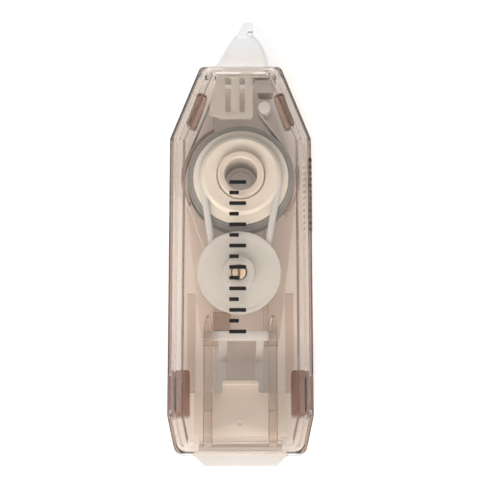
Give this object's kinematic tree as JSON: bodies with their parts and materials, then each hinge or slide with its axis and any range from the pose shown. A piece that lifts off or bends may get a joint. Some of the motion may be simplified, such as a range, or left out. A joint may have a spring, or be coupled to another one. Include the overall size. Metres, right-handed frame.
{
  "type": "correction tape roller",
  "caption": "Pen-shaped clear correction tape roller with a slide-out nose, push button at the end, belt-driven tape reels and side release buttons.",
  "frame": {"origin": "on the back face of the case, between its two long sides, level with the middle of the closed length", "axes": "+X across the width towards the ribbed grip, +Y along the length towards the tip, +Z through the thickness towards the front face"},
  "size_m": [0.032, 0.1002, 0.016],
  "materials": {
    "smoky_clear_case": "gloss",
    "smoky_clear_button": "gloss",
    "smoky_clear_frame": "gloss",
    "white_nose": "gloss",
    "white_slide": "satin",
    "cream_button": "satin",
    "cream_pulley": "satin",
    "milky_reel": "satin",
    "tape_white": "matte",
    "liner_paper": "matte",
    "belt_rubber": "satin",
    "clutch_felt": "matte"
  },
  "bodies": {
    "case": {"back_shell": "smoky_clear_case", "front_shell": "smoky_clear_case"},
    "carriage": {"carriage_frame": "smoky_clear_frame", "nose_tip": "white_nose", "tape_guide_post": "white_slide", "slide_crossbar": "white_slide", "push_button": "cream_button", "drive_belt": "belt_rubber", "tape_run": "tape_white", "liner_run": "liner_paper"},
    "supply_reel": {"supply_core": "milky_reel", "tape_roll": "tape_white", "clutch_washer": "clutch_felt"},
    "pulley": {"drive_pulley": "cream_pulley"},
    "take_up_reel": {"take_up_spool": "milky_reel", "take_up_front_disc": "milky_reel", "used_liner_wrap": "liner_paper"},
    "left_release": {"release_button_left": "smoky_clear_button"},
    "right_release": {"release_button_right": "smoky_clear_button"}
  },
  "joints": [
    {"name": "carriage_slide", "type": "slide", "parent": "case", "child": "carriage", "axis": [0, 1, 0], "range_m": [-0.0105, 0]},
    {"name": "supply_reel_spin", "type": "hinge", "parent": "carriage", "child": "supply_reel", "pos_m": [0.0001, 0.0144, 0.007], "axis": [0, 0, 1], "continuous": true},
    {"name": "drive_pulley_spin", "type": "hinge", "parent": "carriage", "child": "pulley", "pos_m": [0.0001, 0.0144, 0.0113], "axis": [0, 0, 1], "continuous": true},
    {"name": "take_up_reel_spin", "type": "hinge", "parent": "carriage", "child": "take_up_reel", "pos_m": [-0.0003, -0.0075, 0.007], "axis": [0, 0, 1], "continuous": true},
    {"name": "left_release_press", "type": "slide", "parent": "case", "child": "left_release", "axis": [1, 0, 0], "range_m": [0, 0.0007], "stiffness_N_per_m": 2000, "springref_m": -0.0002},
    {"name": "right_release_press", "type": "slide", "parent": "case", "child": "right_release", "axis": [-1, 0, 0], "range_m": [0, 0.0007], "stiffness_N_per_m": 2000, "springref_m": -0.0002}
  ],
  "couplings": [
    {"joint": "drive_pulley_spin", "follows": "supply_reel_spin", "ratio": 1},
    {"joint": "take_up_reel_spin", "follows": "supply_reel_spin", "ratio": 1.6863}
  ]
}
